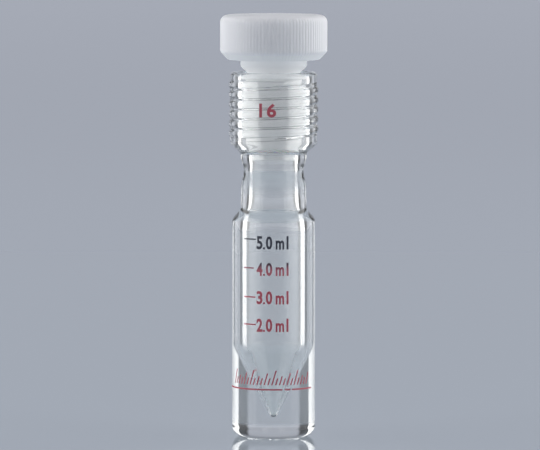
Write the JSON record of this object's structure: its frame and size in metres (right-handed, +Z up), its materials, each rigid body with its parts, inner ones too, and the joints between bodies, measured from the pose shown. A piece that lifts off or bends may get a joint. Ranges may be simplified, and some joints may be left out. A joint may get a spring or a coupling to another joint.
{
  "type": "sample vial",
  "caption": "Heavy-walled glass sample vial with a conical well in its solid base, a graduated body and an internally threaded mouth, closed by a knurled white screw plug with a ring seal.",
  "frame": {"origin": "centre of the flat foot that the vial stands on", "axes": "+Z up along the vial's axis, from the foot to the plug; X and Y are equal, and the printed scale faces -Y"},
  "size_m": [0.0264, 0.0264, 0.1042],
  "materials": {
    "glass": "clear, fire-polished",
    "plug_white": "turned, waxy satin, slightly translucent",
    "seal_white": "smooth, translucent white",
    "print_red": "fired ceramic print",
    "print_black": "fired ceramic print"
  },
  "bodies": {
    "vial": {"vial": "glass"},
    "seal": {"seal_ring": "seal_white"},
    "plug": {"plug": "plug_white"}
  },
  "joints": [
    {"name": "plug_lift", "type": "slide", "parent": "vial", "child": "seal", "axis": [0, 0, 1], "range_m": [0, 0.0241]},
    {"name": "plug_turn", "type": "hinge", "parent": "seal", "child": "plug", "pos_m": [0, 0, 0.08], "axis": [0, 0, 1], "range_deg": [0, 3600]}
  ],
  "couplings": [
    {"joint": "plug_lift", "follows": "plug_turn", "m_per_rad": 0.00038197}
  ]
}
